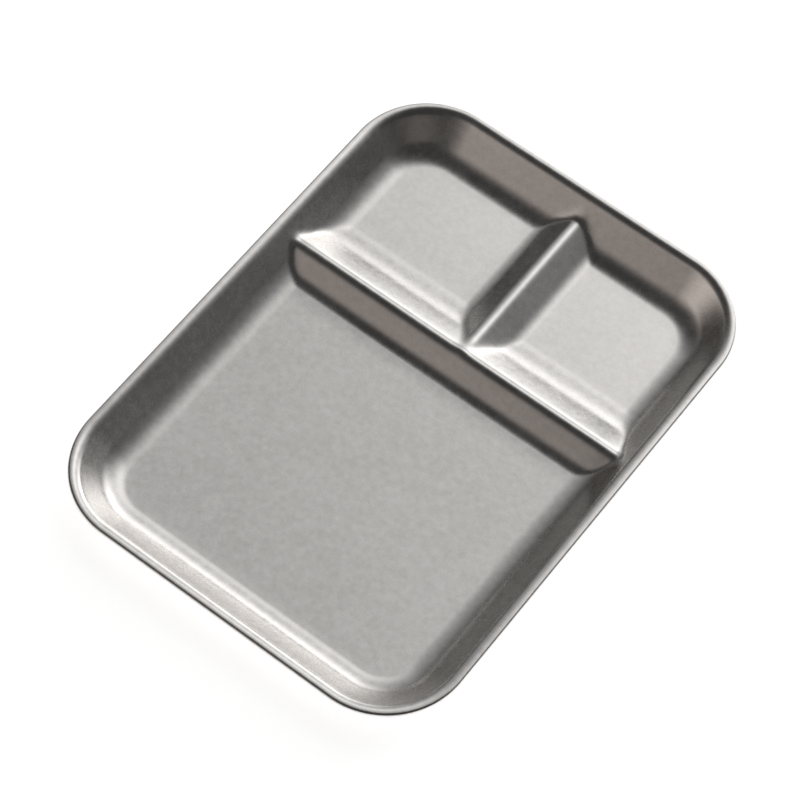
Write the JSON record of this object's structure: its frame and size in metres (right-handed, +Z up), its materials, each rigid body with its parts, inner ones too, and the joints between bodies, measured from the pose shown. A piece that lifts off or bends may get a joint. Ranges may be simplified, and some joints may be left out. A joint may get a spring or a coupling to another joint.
{
  "type": "compartment tray",
  "caption": "Shallow rectangular serving tray pressed from stainless steel sheet, with rounded corners, a rolled edge and low ridges that part a large compartment from small ones.",
  "frame": {"origin": "on the table under the middle of the tray", "axes": "+X to the right along the width, +Y to the back along the length, towards the two small compartments, +Z up out of the tray"},
  "size_m": [0.17, 0.23, 0.0152],
  "materials": {
    "satin_steel": "satin, tumbled matt with a fine mottle"
  },
  "bodies": {
    "root": {"pressed_tray": "satin_steel"}
  },
  "joints": []
}
